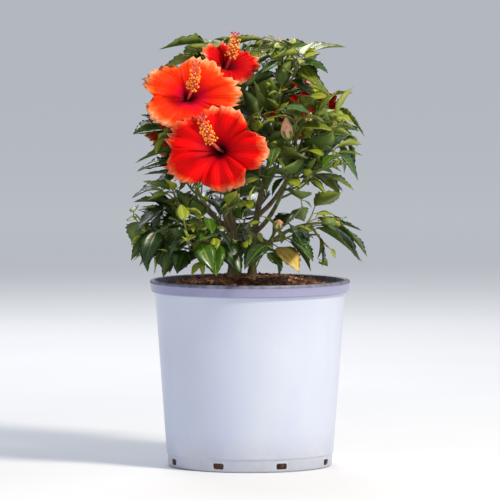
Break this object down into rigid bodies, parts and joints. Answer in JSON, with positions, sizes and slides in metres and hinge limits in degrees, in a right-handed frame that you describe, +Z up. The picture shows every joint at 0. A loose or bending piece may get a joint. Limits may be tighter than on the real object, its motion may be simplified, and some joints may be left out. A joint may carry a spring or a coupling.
{
  "type": "potted hibiscus shrub",
  "caption": "Young hibiscus shrub with leaning stems, glossy toothed leaves and wide red ruffled flowers, in a tapered white nursery pot filled with bark.",
  "frame": {"origin": "centre of the pot's flat underside, on the ground", "axes": "+Z up, -Y towards the side seen in the picture, +X to that side's right"},
  "size_m": [0.3034, 0.3264, 0.5725],
  "materials": {
    "pot": "smooth white moulded plastic, dark at the rim's edge and inside",
    "soil": "loose red-brown potting bark with paler chips",
    "bark": "thin brown-green bark of a young shrub",
    "foliage": "glossy dark green leaves, lighter at the shoot tips, with red petals"
  },
  "bodies": {
    "root": {"pot": "pot", "soil": "soil", "stem_1": "bark", "stem_2": "bark", "stem_3": "bark", "bough_1": "bark", "bough_2": "bark", "bough_3": "bark", "bough_4": "bark", "bough_5": "bark", "bough_6": "bark", "bough_7": "bark", "bough_8": "bark", "bough_9": "bark", "bough_10": "bark", "shoot_low_1": "foliage", "shoot_low_2": "foliage", "shoot_low_3": "foliage", "shoot_low_4": "foliage", "shoot_low_5": "foliage", "shoot_middle_1": "foliage", "shoot_middle_2": "foliage", "shoot_middle_3": "foliage", "shoot_middle_4": "foliage", "shoot_top_1": "foliage", "shoot_top_2": "foliage", "shoot_top_3": "foliage", "shoot_under_1": "foliage"}
  },
  "joints": []
}
